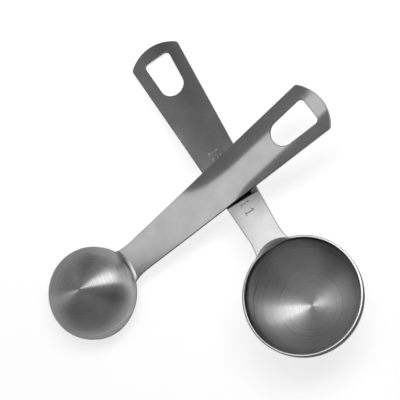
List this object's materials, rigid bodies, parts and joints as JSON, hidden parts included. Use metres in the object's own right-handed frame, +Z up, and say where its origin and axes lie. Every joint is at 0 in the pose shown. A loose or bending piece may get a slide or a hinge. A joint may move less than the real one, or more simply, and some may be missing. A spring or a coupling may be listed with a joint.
{
  "type": "measuring spoons",
  "caption": "Pressed steel measuring spoons with round bowls and long tapered handles that end in a hanging slot, laid crossed, the smaller one upside down.",
  "frame": {"origin": "middle of the pair's outline seen from above, at the height of the table that it lies on", "axes": "+Z up from the table, +Y along the larger spoon's handle from its bowl towards its slot, +X to the right of it, the way the smaller spoon's handle points"},
  "size_m": [0.1216, 0.1282, 0.0215],
  "materials": {
    "tablespoon_steel": "fine brushed, concentric in the bowl",
    "half_tablespoon_steel": "fine brushed, concentric on the bowl"
  },
  "bodies": {
    "tablespoon": {"tablespoon": "tablespoon_steel"},
    "half_tablespoon": {"half_tablespoon": "half_tablespoon_steel"}
  },
  "joints": [
    {"name": "half_tablespoon_lift", "type": "slide", "parent": "tablespoon", "child": "half_tablespoon", "axis": [0, 0, 1], "range_m": [0, 0.04]}
  ]
}
